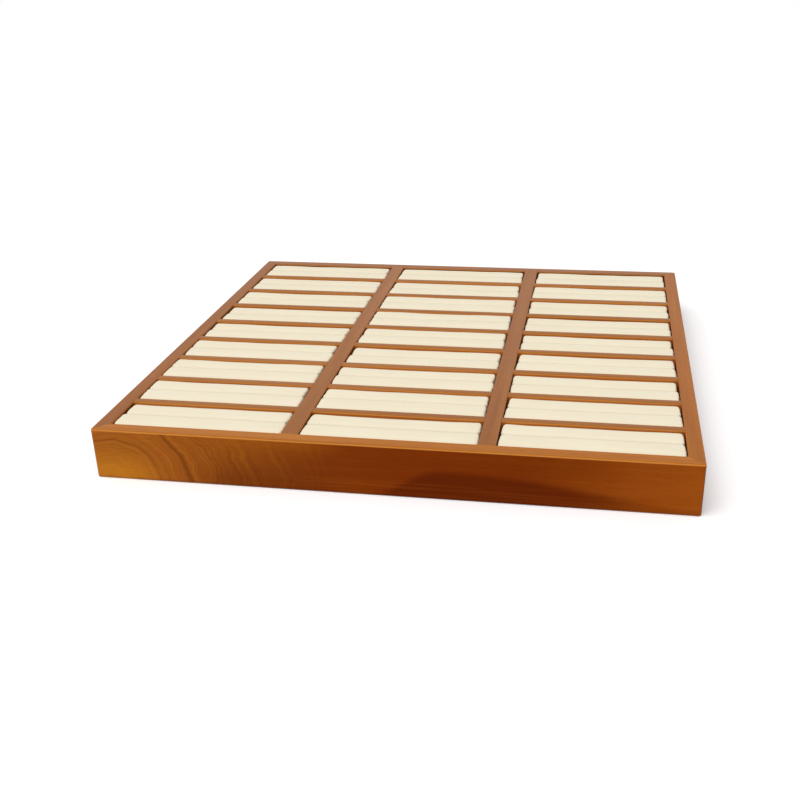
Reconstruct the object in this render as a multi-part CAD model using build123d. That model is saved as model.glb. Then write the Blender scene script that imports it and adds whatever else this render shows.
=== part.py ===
from build123d import *
import os

# A square wooden ring tray, open at the top. Four mitred rails carry two dividers that run from
# front to back, short cross strips are housed between them, and every cell holds a soft ring pad.
# The origin is the middle of the underside, X runs to the right, Y to the back and Z up.

# Overall sizes in millimetres
TRAY_W = 350.0
TRAY_D = 350.0
TRAY_H = 31.5

# Wood thicknesses
RAIL_T = 9.0
DIVIDER_T = 10.0
STRIP_T = 4.5
BASE_T = 3.0

# The grid: columns from left to right, rows from front to back
COLUMN_NAMES = ("left", "middle", "right")
DIVIDER_NAMES = ("left_divider", "right_divider")
ROWS = 9

# Softened corners and arrises
CORNER_R = 1.8
RIM_R = 1.0
FOOT_R = 0.8
CELL_EDGE_R = 0.5
STRIP_ROUND_R = 1.4
STRIP_DROP = 0.8

# Base board in its rebate
REBATE_W = 4.5
BASE_GAP = 0.2

# Housings for the cross strips and mortises for the dividers, both stopped below the rim
GLUE_GAP = 0.1
HOUSING_DEPTH = 3.0
HOUSING_STOP = 9.0
TENON_L = 4.0
TENON_T = 5.0
TENON_STOP = 8.0

# Keys across the mitres
KEY_W = 7.0
KEY_T = 2.0
KEY_H = 16.0
KEY_LIFT = 3.0

# Brad nails, driven up through the base board: flat wire with a small T head
BRAD_W = 1.2
BRAD_T = 1.0
BRAD_L = 12.0
BRAD_HEAD_W = 2.0
BRAD_HEAD_H = 0.6
BRAD_SINK = 0.2
BRAD_ROW_STEP = 3

# Ring pads: two soft rolls side by side with a slit between them
PAD_SIDE_GAP = 0.4
PAD_END_GAP = 0.8
PAD_TOP_DROP = 0.2
CROWN_RISE = 3.0
SLIT_GAP = 1.2
SLIT_DEPTH = 14.0
FOOT_TUCK = 0.8
END_TUCK = 1.8
END_L = 3.0

# Sizes that follow
inner_w = TRAY_W - 2 * RAIL_T
inner_d = TRAY_D - 2 * RAIL_T
columns = len(COLUMN_NAMES)
cell_w = (inner_w - (columns - 1) * DIVIDER_T) / columns
cell_d = (inner_d - (ROWS - 1) * STRIP_T) / ROWS
strip_h = TRAY_H - STRIP_DROP - BASE_T
pad_w = cell_w - 2 * PAD_END_GAP
pad_d = cell_d - 2 * PAD_SIDE_GAP
pad_h = TRAY_H - PAD_TOP_DROP - BASE_T


def column_x(column):
    """Middle of a column of cells."""
    return -inner_w / 2 + cell_w / 2 + column * (cell_w + DIVIDER_T)


def divider_x(number):
    """Middle of the divider to the right of a column."""
    return column_x(number) + (cell_w + DIVIDER_T) / 2


def row_y(row):
    """Middle of a row of cells, counted from the front."""
    return -inner_d / 2 + cell_d / 2 + row * (cell_d + STRIP_T)


def strip_y(number):
    """Middle of the cross strip behind a row."""
    return row_y(number) + (cell_d + STRIP_T) / 2


def block(width, depth, bottom, top):
    """Upright block, centred on the Z axis."""
    return extrude(Plane.XY.offset(bottom) * Rectangle(width, depth), top - bottom)


def framework():
    """Rails and dividers as one blank, sanded together, with the rebate for the base board."""
    blank = extrude(RectangleRounded(TRAY_W, TRAY_D, CORNER_R), TRAY_H)
    for column in range(columns):
        blank -= Pos(column_x(column), 0, 0) * block(cell_w, inner_d, 0, TRAY_H)
    blank = fillet(blank.faces().sort_by(Axis.Z)[-1].outer_wire().edges(), RIM_R)
    rim = blank.faces().sort_by(Axis.Z)[-1]
    blank = fillet([edge for wire in rim.inner_wires() for edge in wire.edges()], CELL_EDGE_R)
    blank = fillet(blank.faces().sort_by(Axis.Z)[0].outer_wire().edges(), FOOT_R)
    return blank - block(inner_w + 2 * REBATE_W, inner_d + 2 * REBATE_W, 0, BASE_T)


def mitre_prism(length, reach):
    """Prism that holds one rail: its ends run through the tray's corners at 45 degrees."""
    near = reach - RAIL_T
    points = ((-length / 2 - RAIL_T, -reach - RAIL_T), (length / 2 + RAIL_T, -reach - RAIL_T),
              (length / 2 - RAIL_T, -near), (-length / 2 + RAIL_T, -near))
    return extrude(make_face(Polyline(*points, close=True)), TRAY_H)


def strip_tongues(column, number, gap):
    """The two ends of a cross strip that sit in its housings, smaller by the glue gap."""
    length = HOUSING_DEPTH - gap
    end = block(length, STRIP_T - 2 * gap, BASE_T, TRAY_H - HOUSING_STOP - gap)
    reach = (cell_w + length) / 2
    place = Pos(column_x(column), strip_y(number), 0)
    return place * (Pos(-reach, 0, 0) * end), place * (Pos(reach, 0, 0) * end)


def divider_tenons(number, gap):
    """The stub tenons at the front and back of a divider, smaller by the glue gap."""
    length = TENON_L - gap
    end = block(TENON_T - 2 * gap, length, BASE_T, TRAY_H - TENON_STOP - gap)
    reach = (inner_d + length) / 2
    return Pos(divider_x(number), -reach, 0) * end, Pos(divider_x(number), reach, 0) * end


def corner_keys(gap):
    """Upright keys that cross the four mitres, smaller by the glue gap."""
    bottom = BASE_T + KEY_LIFT
    key = block(KEY_W - 2 * gap, KEY_T - 2 * gap, bottom + gap, bottom + KEY_H - gap)
    x = (TRAY_W - RAIL_T) / 2
    y = (TRAY_D - RAIL_T) / 2
    return [
        Pos(side * x, end * y, 0) * Rot(0, 0, -45 * side * end) * key
        for side in (-1, 1)
        for end in (-1, 1)
    ]


def brad_places():
    """Brads along the rebate and under the dividers, clear of every housing."""
    edge_x = (inner_w + REBATE_W) / 2
    edge_y = (inner_d + REBATE_W) / 2
    rows = range(BRAD_ROW_STEP // 2, ROWS, BRAD_ROW_STEP)
    places = [(column_x(column), end * edge_y) for column in range(columns) for end in (-1, 1)]
    places += [(side * edge_x, row_y(row)) for row in rows for side in (-1, 1)]
    places += [(divider_x(number), row_y(row)) for row in rows for number in range(columns - 1)]
    return places


def brad(sink):
    """A brad with its head sunk below the underside, or with no sink the hole that it leaves."""
    head = block(BRAD_HEAD_W, BRAD_T, sink, BRAD_SINK + BRAD_HEAD_H)
    return head + block(BRAD_W, BRAD_T, BRAD_SINK + BRAD_HEAD_H, BRAD_SINK + BRAD_L)


def cross_strip(column, number):
    """A short strip with a rounded top edge, and a tongue at each end."""
    section = Pos(0, strip_h / 2) * Rectangle(STRIP_T, strip_h)
    section = fillet(section.vertices().group_by(Axis.Y)[-1], STRIP_ROUND_R)
    left_end = Plane((column_x(column) - cell_w / 2, strip_y(number), BASE_T), (0, 1, 0), (1, 0, 0))
    strip = extrude(left_end * section, cell_w)
    for tongue in strip_tongues(column, number, GLUE_GAP):
        strip += tongue
    return strip


def pad_section():
    """Outline across both rolls: tapered walls, round crowns and the slit between them."""
    lip = SLIT_GAP / 2
    side = pad_d / 2
    shoulder = pad_h - CROWN_RISE
    slit_floor = pad_h - SLIT_DEPTH
    back = [
        Line((side - FOOT_TUCK, 0), (side, shoulder)),
        ThreePointArc((side, shoulder), ((side + lip) / 2, pad_h), (lip, shoulder)),
        Line((lip, shoulder), (lip, slit_floor)),
    ]
    front = [mirror(edge, Plane.YZ) for edge in back]
    foot = Line((FOOT_TUCK - side, 0), (side - FOOT_TUCK, 0))
    floor = Line((lip, slit_floor), (-lip, slit_floor))
    return make_face([foot, floor, *back, *front])


def pad_plan():
    """Outline from above: the corners drawn in, and a notch where the slit runs out of each end."""
    end = pad_w / 2
    side = pad_d / 2
    inner = SLIT_GAP / 2 + END_TUCK
    corner = [(end - END_L, side), (end, side - END_TUCK), (end, inner), (end - END_L, 0)]
    right = corner + [(x, -y) for x, y in reversed(corner[:-1])]
    left = [(-x, y) for x, y in reversed(right)]
    return make_face(Polyline(*right, *left, close=True))


def ring_pad():
    """A pad: its section from end to end, trimmed to its plan."""
    section = Plane((-pad_w / 2, 0, 0), (0, 1, 0), (1, 0, 0)) * pad_section()
    return extrude(section, pad_w) & extrude(pad_plan(), pad_h)


def write(name, piece):
    export_step(piece, f"parts/{name}.step")
    print(name, round(piece.volume), "cubic mm")


os.makedirs("parts", exist_ok=True)

housings = [
    housing
    for column in range(columns)
    for number in range(ROWS - 1)
    for housing in strip_tongues(column, number, 0)
]
mortises = [mortise for number in range(columns - 1) for mortise in divider_tenons(number, 0)]
holes = [Pos(x, y, 0) * brad(0) for x, y in brad_places()]
blank = framework()

side_on = mitre_prism(TRAY_W, TRAY_D / 2)
end_on = mitre_prism(TRAY_D, TRAY_W / 2)
rails = {
    "front_rail": side_on,
    "back_rail": Rot(0, 0, 180) * side_on,
    "left_rail": Rot(0, 0, -90) * end_on,
    "right_rail": Rot(0, 0, 90) * end_on,
}
for name, prism in rails.items():
    write(name, (blank & prism) - housings - mortises - corner_keys(0) - holes)

for number, name in enumerate(DIVIDER_NAMES):
    divider = blank & (Pos(divider_x(number), 0, 0) * block(DIVIDER_T, inner_d, 0, TRAY_H))
    for tenon in divider_tenons(number, GLUE_GAP):
        divider += tenon
    write(name, divider - housings - holes)

for column, side in enumerate(COLUMN_NAMES):
    for number in range(ROWS - 1):
        write(f"cross_strip_{side}_{number + 1}", cross_strip(column, number))

board_w = inner_w + 2 * (REBATE_W - BASE_GAP)
board_d = inner_d + 2 * (REBATE_W - BASE_GAP)
write("base_panel", block(board_w, board_d, 0, BASE_T) - holes)
write("base_brads", Compound([Pos(x, y, 0) * brad(BRAD_SINK) for x, y in brad_places()]))
write("corner_keys", Compound(corner_keys(GLUE_GAP)))

pad = ring_pad()
for column, side in enumerate(COLUMN_NAMES):
    for row in range(ROWS):
        write(f"ring_pad_{side}_{row + 1}", Pos(column_x(column), row_y(row), BASE_T) * pad)
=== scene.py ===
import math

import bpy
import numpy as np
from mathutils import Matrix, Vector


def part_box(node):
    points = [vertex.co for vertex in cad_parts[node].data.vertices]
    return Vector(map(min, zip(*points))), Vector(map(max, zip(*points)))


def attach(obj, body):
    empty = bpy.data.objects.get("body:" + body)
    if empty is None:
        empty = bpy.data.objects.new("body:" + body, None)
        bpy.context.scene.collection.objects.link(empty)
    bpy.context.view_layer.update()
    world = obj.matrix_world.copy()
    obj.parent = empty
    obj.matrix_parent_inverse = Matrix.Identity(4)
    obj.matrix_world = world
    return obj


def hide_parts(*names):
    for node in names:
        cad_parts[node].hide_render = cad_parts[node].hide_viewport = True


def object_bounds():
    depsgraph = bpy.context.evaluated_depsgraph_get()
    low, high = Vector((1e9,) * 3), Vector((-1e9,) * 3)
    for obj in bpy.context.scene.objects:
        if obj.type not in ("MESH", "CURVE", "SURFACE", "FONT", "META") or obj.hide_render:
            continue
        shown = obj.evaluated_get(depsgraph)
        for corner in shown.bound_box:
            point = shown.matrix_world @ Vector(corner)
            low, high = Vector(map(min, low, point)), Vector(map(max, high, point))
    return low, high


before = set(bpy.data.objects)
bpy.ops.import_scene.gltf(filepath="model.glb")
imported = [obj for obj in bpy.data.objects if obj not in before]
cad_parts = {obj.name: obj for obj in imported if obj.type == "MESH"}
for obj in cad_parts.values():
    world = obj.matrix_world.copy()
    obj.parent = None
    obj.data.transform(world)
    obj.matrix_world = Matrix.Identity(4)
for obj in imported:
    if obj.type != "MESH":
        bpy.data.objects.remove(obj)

# %% [markdown]
# # A wooden display tray with 27 soft pads
# The frame of this scene is a imported CAD model: rails, dividers, cross strips and a base board,
# all in metres and all in the right place. The rails, the dividers and the board keep their CAD
# shape and get a new finish. The pads are new pieces, because foam under cloth has soft shapes
# that CAD solids only outline. The cross strips are new too, because the real ones are flush with
# the rim. The box of the whole object is measured first and printed.

cad_box = [list(corner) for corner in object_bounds()]
print("CAD box", cad_box)

# %% [markdown]
# Shader maths reads best as plain expressions. The class below wraps one output socket of a node.
# Adding, subtracting, multiplying or dividing two of them puts a Math node into the material, and
# every other node comes from the one method `node`, which takes its settings and its inputs.
# The other way is to wire each node by hand, which is long and hides what the material does.

# %% One class for sockets
class Wire:
    """One output of a shader node. Operators on wires add Math nodes, so 1 - mask works."""

    def __init__(self, tree, socket=None):
        self.tree = tree
        self.socket = socket

    def node(self, kind, settings=(), inputs=(), out=0):
        """Adds a node, sets it up, fills its sockets by name or number and returns one output."""
        made = self.tree.nodes.new(kind)
        for key, value in dict(settings).items():
            if key == "stops":
                ramp = made.color_ramp.elements
                while len(ramp) < len(value):
                    ramp.new(1.0)
                for stop, (place, colour) in zip(ramp, value):
                    stop.position = place
                    stop.color = colour
            else:
                setattr(made, key, value)
        for key, value in dict(inputs).items():
            if isinstance(value, Wire):
                self.tree.links.new(value.socket, made.inputs[key])
            else:
                made.inputs[key].default_value = value
        return Wire(self.tree, made.outputs[out])

    def math(self, operation, *values, clamp=False):
        """A Math node on these values."""
        settings = {"operation": operation, "use_clamp": clamp}
        return self.node("ShaderNodeMath", settings, dict(enumerate(values)))

    def __add__(self, other):
        return self.math("ADD", self, other)

    def __radd__(self, other):
        return self.math("ADD", other, self)

    def __sub__(self, other):
        return self.math("SUBTRACT", self, other)

    def __rsub__(self, other):
        return self.math("SUBTRACT", other, self)

    def __mul__(self, other):
        return self.math("MULTIPLY", self, other)

    def __rmul__(self, other):
        return self.math("MULTIPLY", other, self)

    def __truediv__(self, other):
        return self.math("DIVIDE", self, other)

    def __rtruediv__(self, other):
        return self.math("DIVIDE", other, self)

    def between(self, low, high):
        """0 below low, 1 above high, and a smooth slope between them."""
        settings = {"interpolation_type": "SMOOTHSTEP"}
        return self.node("ShaderNodeMapRange", settings, {"Value": self, 1: low, 2: high})

    def blend(self, first, second):
        """A colour that goes from first to second as this wire goes from 0 to 1.

        A Mix node keeps sockets for numbers, vectors and colours. The colours are 6 and 7 of its
        inputs and 2 of its outputs.
        """
        settings = {"data_type": "RGBA"}
        return self.node("ShaderNodeMix", settings, {0: self, 6: first, 7: second}, out=2)

    def noise(self, place, size, detail=2.0, roughness=0.5):
        """Cloudy noise from 0 to 1 at a place in metres, in clouds of this size on each axis."""
        scale = tuple(1 / part for part in size)
        spread = self.node("ShaderNodeMapping", (), {"Vector": place, "Scale": scale})
        values = {"Vector": spread, "Scale": 1.0, "Detail": detail, "Roughness": roughness}
        return self.node("ShaderNodeTexNoise", {"noise_dimensions": "3D"}, values)


# %% [markdown]
# A finish on the real tray is a colour, a gloss and a relief. What is the same all over a surface
# is set on the shader's own sockets, and what changes from place to place comes in on a wire.
# Three helpers do that. Colours are written as a screen shows them, because that is how a maker
# compares them with the real thing, and are turned into the linear light that a shader adds up.

# %% Helpers for colours and finishes
def paint(red, green, blue):
    """A screen colour of 0 to 255 as the linear colour that a shader wants."""
    parts = [part / 255 for part in (red, green, blue)]
    return tuple(part / 12.92 if part < 0.04045 else ((part + 0.055) / 1.055) ** 2.4
                 for part in parts) + (1.0,)


def finish(name, **constants):
    """A new material, a wire to start its nodes from and its shader with these constants."""
    material = bpy.data.materials.new(name)
    material.use_nodes = True
    shader = material.node_tree.nodes["Principled BSDF"]
    for key, value in constants.items():
        shader.inputs[key.replace("_", " ")].default_value = value
    return material, Wire(material.node_tree), shader


def feed(shader, start, **wires):
    """Connects wires to the shader's sockets, with _ for a space in a socket's name."""
    for key, wire in wires.items():
        start.tree.links.new(wire.socket, shader.inputs[key.replace("_", " ")])


# %% [markdown]
# The frame is a warm brown hardwood under a satin lacquer. Along the grain the pattern changes
# slowly, and across it changes fast, so each layer of noise is stretched along the board. Three
# layers do: broad bands of darker and lighter wood, fine streaks, and short dark pores. The grain
# runs along each board, so boards that run from left to right and boards that run from front to
# back get their own materials. A scanned texture would also do, but it would not fit every board.
# The top of a board has its own tones, partly the board's colour and partly painted sheen of the
# lacquer, and a painted highlight runs as a thin bright line along its top edge.

# %% The layers of a board
LEFT_TO_RIGHT, FRONT_TO_BACK = 0, 1
RIM = cad_box[1][2]
TOP_FACE = (RIM - 0.0011, RIM - 0.0003)
# A painted highlight: a thin bright line just under the rim along each board's top edge.
HIGHLIGHT_BEGINS = (RIM - 0.0013, RIM - 0.0007)
HIGHLIGHT_ENDS = (RIM - 0.0006, RIM - 0.0001)
EDGE_HIGHLIGHT_STRENGTH = 0.6
EDGE_HIGHLIGHT_TONE = paint(224, 150, 72)
PORE_SHADE = 0.25
AMBER = (1.0, 0.42, 0.12, 1.0)
GRAIN_RELIEF = 0.0002


class Board:
    """The place on a board and its layers of grain along one axis, from 0 to 1."""

    def __init__(self, start, run, shift):
        self.place = start.node("ShaderNodeTexCoord", out="Object")
        moved = {"Vector": self.place, "Location": (shift, 1.7 * shift, 0.6 * shift)}
        self.own = start.node("ShaderNodeMapping", (), moved)
        self.run = run
        self.bands = start.noise(self.own, self.along(0.28, 0.010), 3.0, 0.55)
        self.streaks = start.noise(self.own, self.along(0.06, 0.0014), 4.0, 0.6)
        self.pores = start.noise(self.own, self.along(0.006, 0.0004), 1.0).between(0.60, 0.74)

    def along(self, length, width):
        """A size for noise that is long along the board and narrow across it."""
        size = [width, width, width]
        size[self.run] = length
        return tuple(size)

    def axis(self, number):
        """The place along X, Y or Z in metres."""
        return self.place.node("ShaderNodeSeparateXYZ", (), {0: self.place}, out=number)


def ramp(value, dark, middle, light):
    """Three tones of wood over a value from 0 to 1."""
    stops = ((0.0, dark), (0.5, middle), (1.0, light))
    return value.node("ShaderNodeValToRGB", {"stops": stops}, {"Fac": value})


def lacquer(name, run, side_tones, top_tones_and_sheen, shift=0.0, figure=None):
    """Lacquered wood: side tones, top tones partly of painted sheen, a painted edge highlight. Shift
    moves the grain along.
    """
    material, start, shader = finish(name, IOR=1.35, Specular_IOR_Level=0.2, Specular_Tint=AMBER)
    board = Board(start, run, shift)
    tone = (board.bands - 0.5) * 0.9 + (board.streaks - 0.5) * 0.7 + 0.5
    height = board.axis(2)
    side = figure(board, tone) if figure else ramp(tone, *side_tones)
    # Painted sheen: the top face takes its own tones, partly the board's colour and partly the
    # paleness of the lacquer's sheen.
    colour = height.between(*TOP_FACE).blend(side, ramp(tone, *top_tones_and_sheen))
    colour = (board.pores * PORE_SHADE).blend(colour, side_tones[0])
    # A painted highlight: a thin bright line just under the rim, along the top edges.
    highlight_line = height.between(*HIGHLIGHT_BEGINS) * (1 - height.between(*HIGHLIGHT_ENDS))
    colour = (highlight_line * EDGE_HIGHLIGHT_STRENGTH).blend(colour, EDGE_HIGHLIGHT_TONE)
    relief = board.streaks * 0.6 - board.pores * 0.5
    bump = {"Strength": 0.12, "Distance": GRAIN_RELIEF, "Height": relief}
    feed(shader, start, Base_Color=colour, Roughness=board.streaks * 0.14 + 0.32,
         Normal=start.node("ShaderNodeBump", (), bump))
    return material


def dress(nodes, material):
    """Gives CAD nodes a finish on their own material slots."""
    for node in nodes:
        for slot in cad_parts[node].material_slots:
            slot.material = material
    print(material.name, "on", len(nodes), "nodes")


# %% [markdown]
# The front rail is cut from near the heart of the tree at its left end. There the growth rings
# show as long curves round one point, in golden wood, and they fade into plain red-brown wood to
# the right, with a darker flame along the foot that rises fast and falls away slowly. The darker
# middle and the flame are partly the wood and partly painted shade, and over one stretch the face
# is darker at the foot and lighter at the top, partly wood and partly painted shade and light.
# Distance from the point, stretched in height, gives the rings, and noise over that one number
# gives them uneven widths. A picture of the board would also do, but only a few tones of the wood
# are written down here, and smooth slopes blend them.

# %% Figure of the front rail
HEART_X, HEART_Z = -0.164, 0.002
HEART_FLATTEN = 1.31
RING_W = 0.0046
GOLD = paint(192, 120, 30)
RING_TONE = paint(100, 48, 10)
PALE_TONE = paint(162, 90, 26)
# Partly the wood and partly painted shade: the rail's middle is darker.
DEEP_TONE_AND_SHADE = paint(122, 47, 2)
RIGHT_TONE = paint(153, 75, 14)
# Partly the wood, and partly painted shade at the foot and painted light at the top, over one
# stretch.
SPAN_FOOT_TONE_AND_SHADE = paint(98, 34, 3)
SPAN_TOP_TONE_AND_LIGHT = paint(160, 85, 18)
# The flame at the foot: partly the wood's figure and partly painted shade.
FLAME_TONE_AND_SHADE = paint(94, 29, 1)
FLAME_HEIGHT = 0.56
GRAIN_LIGHT = paint(196, 110, 30)
GRAIN_DARK = paint(60, 18, 2)


def front_figure(board, tone):
    """Colours along the rail, rings round the heart, gold near it and a dark flame at the foot,
    partly painted shade.

    Share is 0 at the left end of the rail and 1 at the right, and each slope along the rail is a
    stretch of it. Away is the distance from the heart, with some noise. The rings are noise over
    away, and they fade as it grows. The flame is all that lies below its top, which is the rail's
    height times a fast climb and a slow fall.
    """
    x, z = board.axis(0), board.axis(2)
    warp = x.noise(board.place, (0.030, 0.02, 0.02), 2.0) - 0.5
    fine = x.noise(board.place, (0.010, 0.006, 0.007), 3.0) - 0.5
    share = (x - cad_box[0][0]) / (cad_box[1][0] - cad_box[0][0])
    spread = share + warp * 0.12
    # The middle of the rail is darker: partly the wood, partly painted shade.
    base = spread.between(0.05, 0.50).blend(PALE_TONE, DEEP_TONE_AND_SHADE)
    base = spread.between(0.70, 1.02).blend(base, RIGHT_TONE)

    aside = x - HEART_X
    rise = (z - HEART_Z) * HEART_FLATTEN
    away = x.math("SQRT", aside * aside + rise * rise) + warp * 0.014 + fine * 0.004
    line = x.node("ShaderNodeCombineXYZ", (), {0: away})
    rings = x.noise(line, (RING_W, 1, 1), 4.0, 0.7)
    clear = 1 - away.between(0.045, 0.16)
    base = ((1 - rings.between(0.36, 0.50)) * (clear * 0.75)).blend(base, RING_TONE)
    base = (rings.between(0.50, 0.68) * (clear * 0.4)).blend(base, GOLD)

    # Over one stretch the face is darker at the foot and lighter at the top: partly the wood, partly
    # painted shade and light.
    low = 1 - z.between(0.004, 0.022)
    span = share.between(0.15, 0.25) * (1 - share.between(0.34, 0.46))
    base = (span * low * 0.55).blend(base, SPAN_FOOT_TONE_AND_SHADE)
    base = (span * z.between(0.018, RIM) * 0.6).blend(base, SPAN_TOP_TONE_AND_LIGHT)
    base = ((1 - away.between(0.006, 0.042)) * (low * 0.7 + 0.2)).blend(base, GOLD)

    # The dark flame at the foot: partly the wood's figure, partly painted shade.
    climb, fall = share.between(0.47, 0.59), 1 - share.between(0.62, 1.05) * 0.9
    flame_top = climb * fall * (FLAME_HEIGHT * RIM)
    flame = 1 - (z - flame_top + fine * 0.002).between(-0.003, 0.0025)
    base = (flame * (0.9 - share.between(0.78, 0.92) * 0.5)).blend(base, FLAME_TONE_AND_SHADE)

    plain = away.between(0.05, 0.16) * 0.5 + 0.08
    shade = (tone - 0.5) * plain
    base = x.math("MAXIMUM", shade, 0.0).blend(base, GRAIN_LIGHT)
    return x.math("MAXIMUM", 0 - shade, 0.0).blend(base, GRAIN_DARK)


# %% [markdown]
# The boards of the real tray differ a little in tone. On top the tones also hold painted sheen of
# the lacquer, which pales most tops and differs with the way a board runs. One wood for all would
# be shorter, but it would look printed. So each board or group of boards has its own dark, middle
# and light tone for the top, partly its colour and partly painted sheen, and its own shift, which
# starts its grain at another place. The faces below share the tones in SIDE, apart from the front
# rail's figure and the strips.

# %% Every board in its wood
SIDE = (paint(84, 32, 3), paint(122, 56, 10), paint(150, 80, 22))
# The second set of tones of each board is its top, partly the board's own colour and partly painted
# sheen.
front_wood = lacquer("front_rail_wood", LEFT_TO_RIGHT, SIDE,
                     (paint(150, 80, 20), paint(175, 104, 33), paint(200, 132, 54)),
                     figure=front_figure)
back_wood = lacquer("back_rail_wood", LEFT_TO_RIGHT, SIDE,
                    (paint(128, 76, 40), paint(150, 95, 54), paint(172, 118, 74)), 0.3)
left_wood = lacquer("left_rail_wood", FRONT_TO_BACK, SIDE,
                    (paint(126, 72, 28), paint(149, 90, 42), paint(172, 113, 62)), 2.3)
right_wood = lacquer("right_rail_wood", FRONT_TO_BACK, SIDE,
                     (paint(140, 76, 18), paint(163, 95, 29), paint(186, 118, 48)), 0.5)
divider_wood = lacquer("divider_wood", FRONT_TO_BACK, SIDE,
                       (paint(130, 75, 34), paint(153, 95, 48), paint(176, 118, 68)), 0.9)
strip_wood = lacquer("strip_wood", LEFT_TO_RIGHT,
                     (paint(130, 66, 18), paint(176, 102, 42), paint(200, 128, 62)),
                     (paint(132, 76, 34), paint(156, 98, 48), paint(178, 120, 68)), 1.3)
board_wood = lacquer("base_board_wood", LEFT_TO_RIGHT, SIDE, SIDE, 1.9)

dress(["front_rail"], front_wood)
dress(["back_rail"], back_wood)
dress(["left_rail"], left_wood)
dress(["right_rail"], right_wood)
dress(["left_divider", "right_divider"], divider_wood)
dress(["base_panel", "corner_keys"], board_wood)

# %% [markdown]
# Small brads of drawn steel wire hold the base board here, with their heads just below the
# underside. Nothing shows how the real board is held, so they are a guess. Such brads are bright,
# with fine scuffs. One even grey would look like plastic, so a fine noise changes the tone of the
# metal and the sharpness of its gloss together.

# %% Steel
steel, start, shader = finish("brad_steel_finish", Metallic=1.0)
place = start.node("ShaderNodeTexCoord", out="Object")
scuffs = start.noise(place, (0.0008, 0.0008, 0.0008), 3.0)
feed(shader, start, Base_Color=scuffs.blend(paint(150, 150, 148), paint(196, 196, 192)),
     Roughness=scuffs * 0.2 + 0.3)
dress(["base_brads"], steel)

# %% [markdown]
# Each pad is two rolls of soft foam under one piece of cream microfibre, with a narrow slit
# between them. The cloth pulls the foam round at the long edges, closes the slit at the top and
# draws the ends in. The section of a pad is a closed line, made as one half from the slit to the
# foot and mirrored. A rounded box would be quicker, but it has no lip at the slit and no crown.

# %% Section of a pad
SHOULDER_W = 0.0055
SHOULDER_H = 0.0017
LIP_R = 0.0006
LIP_GAP = 0.0001
SLIT_DEPTH = 0.014
FOOT_TUCK = 0.0008
ARC_POINTS = 12
SECTION_POINTS = 48


def half_section(half_depth, height):
    """The line from the slit's floor up its wall, over the lip and crown, and down to the foot.

    The lip is a quarter circle and the shoulder a quarter ellipse, with straight runs between
    them. The whole line is then divided into steps of one length.
    """
    turn = np.linspace(0, math.pi / 2, ARC_POINTS)
    lip = np.column_stack((LIP_GAP + LIP_R * (1 - np.cos(turn)),
                           height - LIP_R * (1 - np.sin(turn))))
    shoulder = np.column_stack((half_depth - SHOULDER_W * (1 - np.sin(turn)),
                                height - SHOULDER_H * (1 - np.cos(turn))))
    line = np.vstack(((LIP_GAP, height - SLIT_DEPTH), lip, shoulder, (half_depth, height / 2),
                      (half_depth - FOOT_TUCK, 0.0), (0.0, 0.0)))
    steps = np.hypot(*np.diff(line, axis=0).T)
    walked = np.concatenate(((0,), np.cumsum(steps)))
    even = np.linspace(0, walked[-1], SECTION_POINTS)
    return np.column_stack((np.interp(even, walked, line[:, 0]),
                            np.interp(even, walked, line[:, 1])))


print("half a section has", SECTION_POINTS, "points")

# %% [markdown]
# Every pad is stuffed by hand, so no two are alike. A few slow waves with their own numbers
# change the height and the ends of each. Random numbers alone would look like crumpled paper,
# and waves stay smooth. A section that is carried from end to end gives rings of points, and the
# faces between them are the same for a pad and for a wooden slat, so one helper makes both.

# %% Waves, faces and meshes
def waves(along, draw, count, longest):
    """A slow random wave: a sum of sines of a few lengths, each with its own phase."""
    lengths = longest / np.arange(1, count + 1)
    phases = draw.uniform(0, 2 * math.pi, count)
    sizes = draw.uniform(0.4, 1.0, count) / np.arange(1, count + 1)
    return (np.sin(2 * math.pi * along[..., None] / lengths + phases) * sizes).sum(axis=-1)


def loft_faces(rings, count):
    """Quads between rings of count points each, and one face to close each end."""
    ring = np.arange(count)
    start = np.arange(rings - 1)[:, None] * count
    quads = np.stack((start + ring, start + np.roll(ring, -1),
                      start + count + np.roll(ring, -1), start + count + ring), axis=-1)
    ends = [ring[::-1].tolist(), (ring + (rings - 1) * count).tolist()]
    return quads.reshape(-1, 4).tolist() + ends


def soft_mesh(name, points, faces):
    """A mesh with smooth sides and flat ends, which are its last two faces."""
    mesh = bpy.data.meshes.new(name)
    mesh.from_pydata(points.reshape(-1, 3).tolist(), [], faces)
    smooth = np.ones(len(faces), bool)
    smooth[-2:] = False
    mesh.polygons.foreach_set("use_smooth", smooth)
    mesh.update()
    return mesh


# %% [markdown]
# The foam presses the cloth out from inside, so the crowns of a real pad are a little swollen
# between the places where the cloth is held. A formula could guess that, but a cloth simulation
# with pressure finds where the cloth gives and where it stays. The foot, the slit and the ends are
# pinned, because cloth that is free at the ends crumples there. The mesh isn't remade first, as is
# usual for cushions, because that would close the slit. The result is only a move for each
# point, with a cap on it, so that a pad can't reach its neighbours.

# %% Swelling of the cloth
END_R = 0.0015
CLOTH_SCALE = 10
CLOTH_PRESSURE = 0.5
CLOTH_FRAMES = 12
SWELL_CAP = 0.0005
SWELL_WAY = (1, 0.2, 1)
MM = 1000


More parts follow.
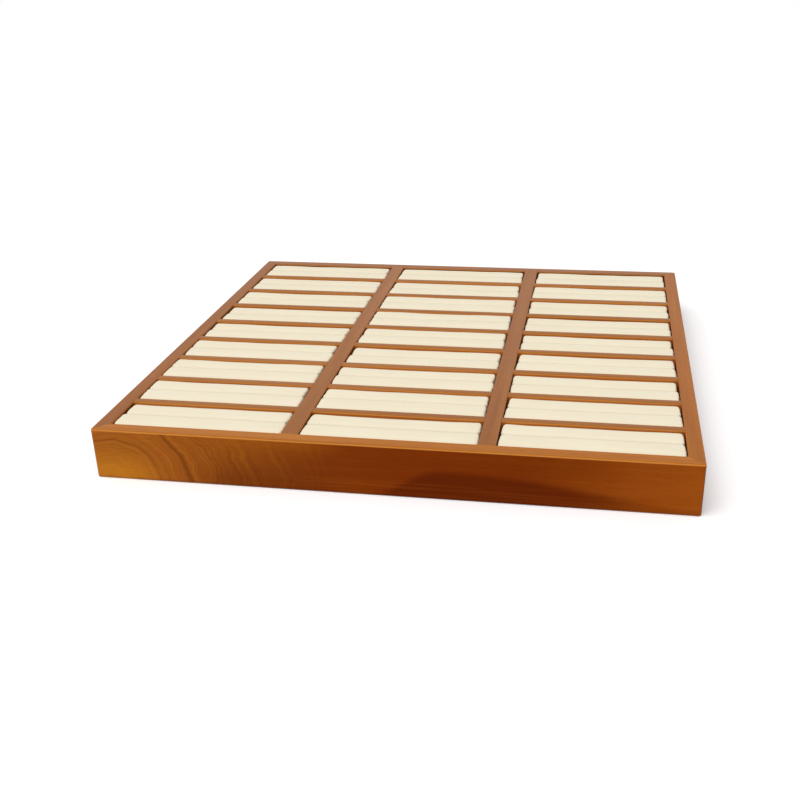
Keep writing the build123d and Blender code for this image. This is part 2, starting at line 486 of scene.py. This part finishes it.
def swell(points, faces, low):
    """How far each point of a pad moves when air presses its cloth outwards.

    The foot, the walls of the slit and the two ends are held still, and the crowns swell between
    them. The cloth is ten times too large while it is simulated, because small cloth is unsteady.
    No point moves further than the cap, and hardly at all towards the strips.
    """
    mesh = bpy.data.meshes.new("swelling")
    mesh.from_pydata((points * CLOTH_SCALE).tolist(), [], faces)
    piece = bpy.data.objects.new("swelling", mesh)
    bpy.context.scene.collection.objects.link(piece)
    middle = (points.min(axis=0) + points.max(axis=0)) / 2
    ends = np.abs(points[:, 0] - middle[0]) > np.ptp(points[:, 0]) / 2 - END_R * 1.1
    foot = points[:, 2] < low[2] + SLIT_DEPTH
    slit = np.abs(points[:, 1] - middle[1]) < LIP_R * 1.5
    held = np.flatnonzero(ends | foot | slit)
    piece.vertex_groups.new(name="held").add(held.tolist(), 1.0, "REPLACE")
    settings = piece.modifiers.new("cloth", "CLOTH").settings
    settings.vertex_group_mass = "held"
    settings.use_pressure = True
    settings.uniform_pressure_force = CLOTH_PRESSURE
    settings.effector_weights.gravity = 0
    for number in range(1, CLOTH_FRAMES + 1):
        bpy.context.scene.frame_set(number)
    shaped = piece.evaluated_get(bpy.context.evaluated_depsgraph_get()).data
    moved = np.empty(points.size)
    shaped.vertices.foreach_get("co", moved)
    moved = moved.reshape(-1, 3) / CLOTH_SCALE - points
    bpy.data.objects.remove(piece)
    bpy.context.scene.frame_set(1)
    far = np.linalg.norm(moved, axis=1, keepdims=True)
    print("cloth moved up to", round(far.max() * MM, 2), "mm before the cap")
    moved = moved * np.minimum(1, SWELL_CAP / np.maximum(far, 1e-9))
    return moved * SWELL_WAY


# %% [markdown]
# A whole pad is its section, carried from end to end. Seen from above, a real pad's ends aren't
# straight: each roll pulls in by its own amount, more at the back corner and at the slit, with a
# ragged edge. Cutting a long loft with a wavy knife would make that too, but moving the points of
# the last stations keeps the grid whole, so the mesh stays closed.

# %% Shape of a pad
STATIONS = 48
END_STATIONS = 6
UPPER_SHARE, END_SHARE, CORNER_SHARE = 0.45, 0.14, 0.28
FRONT_PULL = (-0.0005, 0.0001)
BACK_PULL = (-0.0002, 0.0008)
CORNER_PULL = 0.0024
NOTCH_PULL, NOTCH_W = 0.0008, 0.0012
RAGGED, RAGGED_WAVE = 0.00022, 0.016
UNEVEN, UNEVEN_WAVE = 0.00010, 0.09
MOST_OUT = -0.0006


def outer(values, reach, share):
    """0 until the last share of the reach begins, and a straight slope to 1 at its end."""
    return np.clip((values - reach * (1 - share)) / (reach * share), 0, 1)


def pad_shape(low, high, extra, draw):
    """The points and faces of a pad in the box from low to high.

    The section stays upright and goes from end to end. Near an end it shrinks towards the middle
    of each roll by a quarter circle. Then each roll's end moves in by its own small amount, more
    at the back corner and at the slit. Slow waves change the height of the crown, and extra
    filling raises it.
    """
    half_length, half_depth = (high[0] - low[0]) / 2, (high[1] - low[1]) / 2
    height = high[2] - low[2]
    half = half_section(half_depth, height)
    section = np.vstack((half * (-1, 1), half[::-1][1:-1]))
    turn = np.linspace(0, math.pi / 2, END_STATIONS)
    straight = half_length - END_R
    shrink = END_R * (1 - np.cos(turn))
    x = np.concatenate((-straight - END_R * np.sin(turn[:0:-1]),
                        np.linspace(-straight, straight, STATIONS),
                        straight + END_R * np.sin(turn[1:])))
    inset = np.concatenate((shrink[:0:-1], np.zeros(STATIONS), shrink[1:]))[:, None]

    side = np.sign(section[:, 0])
    roll = side * half_depth / 2
    grid_x = np.repeat(x[:, None], len(section), axis=1)
    grid_y = roll + (section[:, 0] - roll) * (1 - inset / (half_depth / 2))
    tall = section[:, 1][None, :]
    crown = height / 2 + (tall - height / 2) * (1 - inset / (height / 2))
    grid_z = np.where(tall > height / 2, crown, tall)

    upper = outer(grid_z, height, UPPER_SHARE) ** 0.5
    end = np.sign(grid_x)
    near_end = outer(np.abs(grid_x), half_length, END_SHARE) ** 2
    front_pull, back_pull = draw.uniform(*FRONT_PULL, 2), draw.uniform(*BACK_PULL, 2)
    own = np.where(grid_y > 0, np.where(end > 0, *back_pull), np.where(end > 0, *front_pull))
    corner = outer(grid_y / half_depth, 1, CORNER_SHARE)
    notch = np.exp(-(grid_y / NOTCH_W) ** 2)
    pull = own + CORNER_PULL * (1 - np.sqrt(1 - 0.98 * corner ** 2)) + NOTCH_PULL * notch
    pull = pull + RAGGED * waves(grid_y + 7 * end, draw, 3, RAGGED_WAVE)
    grid_x = grid_x - end * near_end * np.clip(pull, MOST_OUT, None) * upper
    lift = waves(grid_x + 0.002 * side, draw, 3, UNEVEN_WAVE) * UNEVEN + extra
    grid_z = grid_z + lift * upper

    middle = (np.array(low) + np.array(high)) / 2
    points = np.stack((grid_x + middle[0], grid_y + middle[1], grid_z + low[2]), axis=-1)
    return points.reshape(-1, 3), loft_faces(len(x), len(section))


# %% [markdown]
# The pads' cloth is cream microfibre: matt, with a short nap that lies this way and that, and a
# faint sheen where it is seen at a flat angle. A photograph of cloth would show its repeat on 27
# pads, so two layers of noise take its place: wide patches, and a fine nap drawn out along the
# pad, which also gives the relief. The sheen is the shader's own.

# %% Cloth of the pads
cloth, start, shader = finish("microfibre", Sheen_Weight=0.25, Sheen_Roughness=0.5, Roughness=0.9,
                              Specular_IOR_Level=0.2)
place = start.node("ShaderNodeTexCoord", out="Object")
patches = start.noise(place, (0.03, 0.012, 0.012), 3.0)
nap = start.noise(place, (0.0016, 0.0005, 0.0005), 3.0, 0.65)
colour = (patches * 0.7 + nap * 0.3).blend(paint(233, 221, 192), paint(244, 234, 209))
relief = start.node("ShaderNodeBump", (), {"Strength": 0.35, "Distance": 0.00025, "Height": nap})
feed(shader, start, Base_Color=colour, Normal=relief)
print(cloth.name, "has", len(cloth.node_tree.nodes), "nodes")

# %% [markdown]
# Each pad fills its cell, with a little room beside the slats. Most pads are filled a little
# less, and a few hold more foam and stand proud of the rim. Simulating all 27 would be nine times
# the work, so only the first three are simulated, and every pad uses one of those three moves,
# with its own strength.

# %% All the pads
COLUMNS = ("left", "middle", "right")
ROWS = 9
SLAT_ROOM = 0.0004
LOW_PADS = (-0.0007, -0.0002)
FULL_PADS = {"left_2": 0.0001, "left_3": 0.0003, "left_4": 0.0001, "middle_2": 0.0001,
             "middle_5": 0.0002, "middle_6": 0.0003, "middle_7": 0.0002}
SWELL_KINDS = 3
SWELL_STRENGTH = (0.5, 1.0)

draw = np.random.default_rng(27)
swollen = []
for column in COLUMNS:
    for row in range(1, ROWS + 1):
        node = f"ring_pad_{column}_{row}"
        low, high = (list(corner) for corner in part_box(node))
        low[1] += SLAT_ROOM * (row > 1)
        high[1] -= SLAT_ROOM * (row < ROWS)
        extra = FULL_PADS.get(f"{column}_{row}", draw.uniform(*LOW_PADS))
        points, faces = pad_shape(low, high, extra, draw)
        if len(swollen) < SWELL_KINDS:
            swollen.append(swell(points, faces, low))
        points = points + swollen[row % SWELL_KINDS - 1] * draw.uniform(*SWELL_STRENGTH)
        pad = bpy.data.objects.new(f"cloth_pad_{column}_{row}", soft_mesh(node, points, faces))
        bpy.context.scene.collection.objects.link(pad)
        pad.data.materials.append(cloth)
        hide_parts(node)
        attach(pad, f"pad_{column}_{row}")
print(len(COLUMNS) * ROWS, "pads of", len(pad.data.vertices), "points each")

# %% [markdown]
# The cross strips are thin slats between the pads, planed flush with the rim. The CAD strips are
# a little low and round, so each gets a slat in its place: a section with two small round arrises,
# carried from divider to divider, with a thinner tongue at each end that sits in its housing. A
# cube with a bevel would have no tongues.

# %% Cross strips
SLAT_T = 0.0055
SLAT_TOP = RIM - 0.0001
SLAT_ARRIS = 0.0006
TONGUE_T = 0.0043
TONGUE_TOP = 0.0224
TONGUE_L = 0.0029
ARRIS_POINTS = 5
SHARP_FROM = math.radians(35)


def slat_mesh(name, low, high):
    """A slat between two dividers: its section at six stations from end to end.

    The first and last two stations are a tongue's, where the section is squeezed to the tongue's
    thickness and height.
    """
    turn = np.linspace(0, math.pi / 2, ARRIS_POINTS)
    edge_y = SLAT_T / 2 - SLAT_ARRIS * (1 - np.sin(turn[::-1]))
    edge_z = SLAT_TOP - SLAT_ARRIS * (1 - np.cos(turn[::-1]))
    half = np.vstack(((SLAT_T / 2, low[2]), np.column_stack((edge_y, edge_z))))
    section = np.vstack((half, (half * (-1, 1))[::-1]))
    left, right = low[0] + TONGUE_L, high[0] - TONGUE_L
    x = np.array((low[0], left, left, right, right, high[0]))
    body = np.array((0, 0, 1, 1, 0, 0))[:, None]
    tongue_z = low[2] + (section[:, 1] - low[2]) * (TONGUE_TOP - low[2]) / (SLAT_TOP - low[2])
    grid_y = section[:, 0] * np.where(body, 1, TONGUE_T / SLAT_T) + (low[1] + high[1]) / 2
    grid_z = np.where(body, section[:, 1], tongue_z)
    points = np.stack((np.repeat(x[:, None], len(section), axis=1), grid_y, grid_z), axis=-1)
    return soft_mesh(name, points, loft_faces(len(x), len(section)))


strip_nodes = [f"cross_strip_{column}_{row}" for column in COLUMNS for row in range(1, ROWS)]
for node in strip_nodes:
    slat = bpy.data.objects.new(node.replace("cross_strip", "slat"), slat_mesh(node, *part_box(node)))
    bpy.context.scene.collection.objects.link(slat)
    slat.data.materials.append(strip_wood)
    slat.data.set_sharp_from_angle(angle=SHARP_FROM)
    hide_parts(node)
    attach(slat, "tray")
print(len(strip_nodes), "slats of", len(slat.data.vertices), "points each")

# %% [markdown]
# The tray stands on a plain white floor. White paper under a lamp is never quite white in a
# picture, and more light on it would burn out the pads. So the floor glows a little, only for
# what the camera sees directly, in a gloss or through glass, and it keeps the tray's shadow.

# %% Floor
FLOOR_REACH = 4.0
FLOOR_GAP = 0.0002
FLOOR_GLOW = 0.15
WHITE = (1, 1, 1, 1)


def seen_rays(start):
    """1 for what the camera sees, directly, in a gloss or through glass, and 0 for plain light."""
    paths = [start.node("ShaderNodeLightPath", out=f"Is {kind} Ray")
             for kind in ("Camera", "Glossy", "Transmission")]
    return paths[0].math("ADD", paths[0] + paths[1], paths[2], clamp=True)


floor_mesh = bpy.data.meshes.new("floor")
square = ((-1, -1, 0), (1, -1, 0), (1, 1, 0), (-1, 1, 0))
floor_mesh.from_pydata((np.array(square) * FLOOR_REACH).tolist(), [], [(0, 1, 2, 3)])
floor = bpy.data.objects.new("floor", floor_mesh)
floor.location.z = cad_box[0][2] - FLOOR_GAP
bpy.context.scene.collection.objects.link(floor)
paper, start, shader = finish("paper", Roughness=0.9, Specular_IOR_Level=0.1)
seen = seen_rays(start)
grain = start.noise(start.node("ShaderNodeTexCoord", out="Object"), (0.05, 0.05, 0.05))
feed(shader, start, Base_Color=grain.blend(paint(250, 250, 250), paint(252, 252, 252)))
glow = seen.node("ShaderNodeEmission", (), {"Color": WHITE, "Strength": seen * FLOOR_GLOW})
both = seen.node("ShaderNodeAddShader", (), {0: Wire(start.tree, shader.outputs[0]), 1: glow})
start.tree.links.new(both.socket, start.tree.nodes["Material Output"].inputs["Surface"])
floor_mesh.materials.append(paper)
print("floor at", floor.location.z)

# %% [markdown]
# The studio light is soft. The world lights the tray evenly from all sides, and is white to the
# camera. A wide sun from the left front gives the soft shadow, and a softbox above the front
# models the crowns of the pads. Small lamps would give hard shadows that cross, and a bright
# world alone would leave the pads flat.

# %% Light
SKY_LIGHT, SKY_GLOW = 0.55, 0.45
SUN_STRENGTH = 1.15
SUN_WIDTH = math.radians(50)
SUN_WAY = (0.5, 0.45, -1.25)
SOFTBOX_PLACE = (-0.1, -0.55, 1.3)
SOFTBOX_SIZE = 0.7
SOFTBOX_WATTS = 3.5

world = bpy.data.worlds.new("studio")
bpy.context.scene.world = world
world.use_nodes = True
sky = Wire(world.node_tree)
seen = seen_rays(sky)
backdrop = world.node_tree.nodes["Background"]
backdrop.inputs["Color"].default_value = WHITE
world.node_tree.links.new((seen * SKY_GLOW + SKY_LIGHT).socket, backdrop.inputs["Strength"])


def hang(name, light, place, way):
    """Puts a light in the scene at place, shining along way."""
    holder = bpy.data.objects.new(name, light)
    holder.location = place
    holder.rotation_euler = way.to_track_quat("-Z", "Y").to_euler()
    bpy.context.scene.collection.objects.link(holder)
    print(name, "at", place, "with", round(light.energy, 2))


sun = bpy.data.lights.new("sun", "SUN")
sun.energy = SUN_STRENGTH
sun.angle = SUN_WIDTH
hang("sun", sun, (0, 0, 0), Vector(SUN_WAY))

softbox = bpy.data.lights.new("softbox", "AREA")
softbox.size = SOFTBOX_SIZE
softbox.energy = SOFTBOX_WATTS
hang("softbox", softbox, SOFTBOX_PLACE, -Vector(SOFTBOX_PLACE))

# %% [markdown]
# The camera stands a little above the tray and to the right of its middle, and looks down at the
# front rail. It could be placed by eye, but then no edge would fall quite right. So its place and
# turn were worked out from the tray's straight edges, which must fall where the photograph has
# them. A small shift of the lens does the rest.

# %% Camera
CAMERA_PLACE = (0.11311, -0.67911, 0.28621)
CAMERA_RIGHT = (0.98466, 0.17305, -0.02231)
CAMERA_UP = (-0.05477, 0.42790, 0.90216)
CAMERA_LENS = 46.57
CAMERA_SENSOR = 36
CAMERA_SHIFT = (-0.02, 0.04)

camera_data = bpy.data.cameras.new("camera")
camera_data.lens = CAMERA_LENS
camera_data.sensor_width = CAMERA_SENSOR
camera_data.shift_x, camera_data.shift_y = CAMERA_SHIFT
camera = bpy.data.objects.new("camera", camera_data)
right, up = Vector(CAMERA_RIGHT).normalized(), Vector(CAMERA_UP).normalized()
turn = Matrix((right, up, right.cross(up))).transposed().to_4x4()
camera.matrix_world = Matrix.Translation(CAMERA_PLACE) @ turn
bpy.context.scene.collection.objects.link(camera)
bpy.context.scene.camera = camera
bpy.context.scene.view_settings.view_transform = "Standard"
print("camera at", CAMERA_PLACE, "with a lens of", CAMERA_LENS, "mm")
